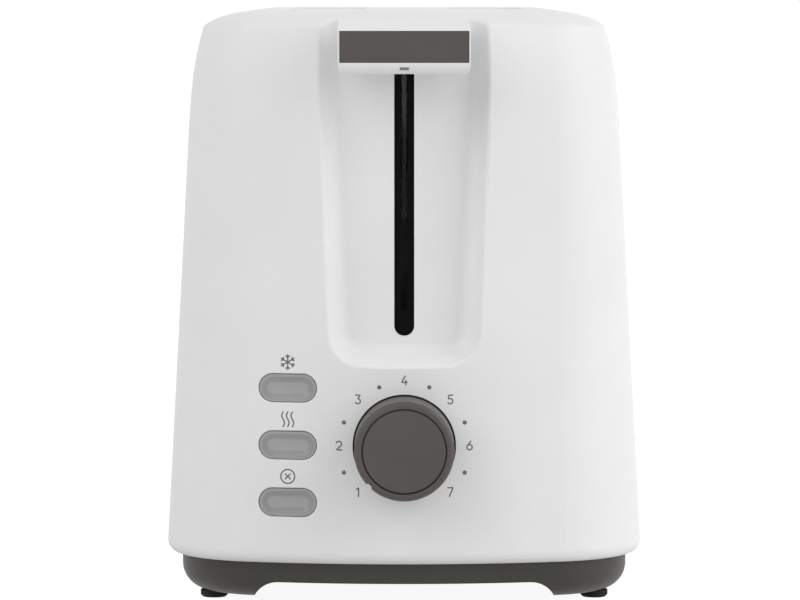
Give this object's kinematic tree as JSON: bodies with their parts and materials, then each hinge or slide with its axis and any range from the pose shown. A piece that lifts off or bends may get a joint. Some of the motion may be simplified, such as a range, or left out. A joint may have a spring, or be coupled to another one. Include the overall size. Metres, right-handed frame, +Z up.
{
  "type": "two-slot toaster",
  "caption": "Upright two-slot toaster: tapered white shell on a dark arched base, sprung bread carriage with front lever, browning dial, push buttons and slide-out crumb tray.",
  "frame": {"origin": "on the table under the middle of the whole toaster", "axes": "+Z up, lever and dial face -Y, +X to the right seen from the front"},
  "size_m": [0.17, 0.2935, 0.2055],
  "materials": {
    "white_plastic": "white moulding, soft gloss",
    "dark_plastic": "dark grey moulding, fine satin",
    "grey_plastic": "warm dark grey moulding, fine satin",
    "button_plastic": "mid grey translucent moulding",
    "rubber": "matte",
    "screw_steel": "zinc plated",
    "sheet_steel": "rolled sheet",
    "bright_aluminium": "bright rolled",
    "mica": "flaky mica board",
    "heater_alloy": "dull oxidised",
    "plated_wire": "nickel plated",
    "spring_steel": "drawn wire",
    "magnet_iron": "nickel plated iron",
    "coil_copper": "enamelled copper",
    "black_plastic": "matte",
    "circuit_green": "solder mask",
    "bush_plastic": "natural"
  },
  "bodies": {
    "housing": {"body_shell": "white_plastic", "base": "dark_plastic", "rubber_feet": "rubber", "base_screws": "screw_steel", "cord_gland": "rubber", "front_chassis_plate": "sheet_steel", "rear_chassis_plate": "sheet_steel", "chassis_screws": "screw_steel", "left_reflector": "bright_aluminium", "right_reflector": "bright_aluminium", "slot_frame": "sheet_steel", "left_heater_board": "mica", "centre_heater_board": "mica", "right_heater_board": "mica", "left_heater_wire": "heater_alloy", "centre_heater_wire": "heater_alloy", "right_heater_wire": "heater_alloy", "guide_rod": "plated_wire", "upper_rod_bracket": "sheet_steel", "lower_rod_bracket": "sheet_steel", "return_spring": "spring_steel", "magnet_core": "magnet_iron", "magnet_coil": "coil_copper", "mains_switch": "black_plastic", "control_board": "circuit_green", "dial_potentiometer": "black_plastic", "button_switches": "black_plastic", "slot_shield": "black_plastic"},
    "carriage": {"carriage_plate": "sheet_steel", "slider_bush": "bush_plastic", "armature_plate": "magnet_iron", "lever_arm": "sheet_steel", "lever_handle": "white_plastic", "lever_insert": "grey_plastic", "left_bread_rack": "sheet_steel", "right_bread_rack": "sheet_steel"},
    "dial": {"dial_knob": "grey_plastic", "dial_cap": "grey_plastic", "dial_shaft": "black_plastic"},
    "defrost_button": {"defrost_button": "button_plastic"},
    "reheat_button": {"reheat_button": "button_plastic"},
    "stop_button": {"stop_button": "button_plastic"},
    "crumb_tray": {"crumb_tray": "sheet_steel", "tray_handle": "dark_plastic"},
    "left_inner_guard": {"left_inner_guard": "plated_wire"},
    "left_outer_guard": {"left_outer_guard": "plated_wire"},
    "right_inner_guard": {"right_inner_guard": "plated_wire"},
    "right_outer_guard": {"right_outer_guard": "plated_wire"}
  },
  "joints": [
    {"name": "lever_slide", "type": "slide", "parent": "housing", "child": "carriage", "axis": [0, 0, 1], "range_m": [-0.084, 0], "stiffness_N_per_m": 25, "springref_m": 0.14, "deforming": ["return_spring"]},
    {"name": "dial_turn", "type": "hinge", "parent": "housing", "child": "dial", "pos_m": [0, -0.12649, 0.0564], "axis": [0, 1, 0], "range_deg": [0, 270]},
    {"name": "defrost_button_press", "type": "slide", "parent": "housing", "child": "defrost_button", "axis": [0, 1, 0], "range_m": [0, 0.002], "stiffness_N_per_m": 300, "springref_m": -0.0015},
    {"name": "reheat_button_press", "type": "slide", "parent": "housing", "child": "reheat_button", "axis": [0, 1, 0], "range_m": [0, 0.002], "stiffness_N_per_m": 300, "springref_m": -0.0015},
    {"name": "stop_button_press", "type": "slide", "parent": "housing", "child": "stop_button", "axis": [0, 1, 0], "range_m": [0, 0.002], "stiffness_N_per_m": 300, "springref_m": -0.0015},
    {"name": "tray_slide", "type": "slide", "parent": "housing", "child": "crumb_tray", "axis": [0, 1, 0], "range_m": [0, 0.215]},
    {"name": "left_inner_guard_hinge", "type": "hinge", "parent": "housing", "child": "left_inner_guard", "pos_m": [-0.0144, 0.00825, 0.044], "axis": [0, 1, 0], "range_deg": [-3.2, 0]},
    {"name": "left_outer_guard_hinge", "type": "hinge", "parent": "housing", "child": "left_outer_guard", "pos_m": [-0.0436, 0.00825, 0.044], "axis": [0, 1, 0], "range_deg": [0, 3.2]},
    {"name": "right_inner_guard_hinge", "type": "hinge", "parent": "housing", "child": "right_inner_guard", "pos_m": [0.0144, 0.00825, 0.044], "axis": [0, 1, 0], "range_deg": [0, 3.2]},
    {"name": "right_outer_guard_hinge", "type": "hinge", "parent": "housing", "child": "right_outer_guard", "pos_m": [0.0436, 0.00825, 0.044], "axis": [0, 1, 0], "range_deg": [-3.2, 0]}
  ],
  "couplings": [
    {"joint": "left_inner_guard_hinge", "follows": "lever_slide", "rad_per_m": 0.6587},
    {"joint": "left_outer_guard_hinge", "follows": "lever_slide", "rad_per_m": -0.6587},
    {"joint": "right_inner_guard_hinge", "follows": "lever_slide", "rad_per_m": -0.6587},
    {"joint": "right_outer_guard_hinge", "follows": "lever_slide", "rad_per_m": 0.6587}
  ]
}
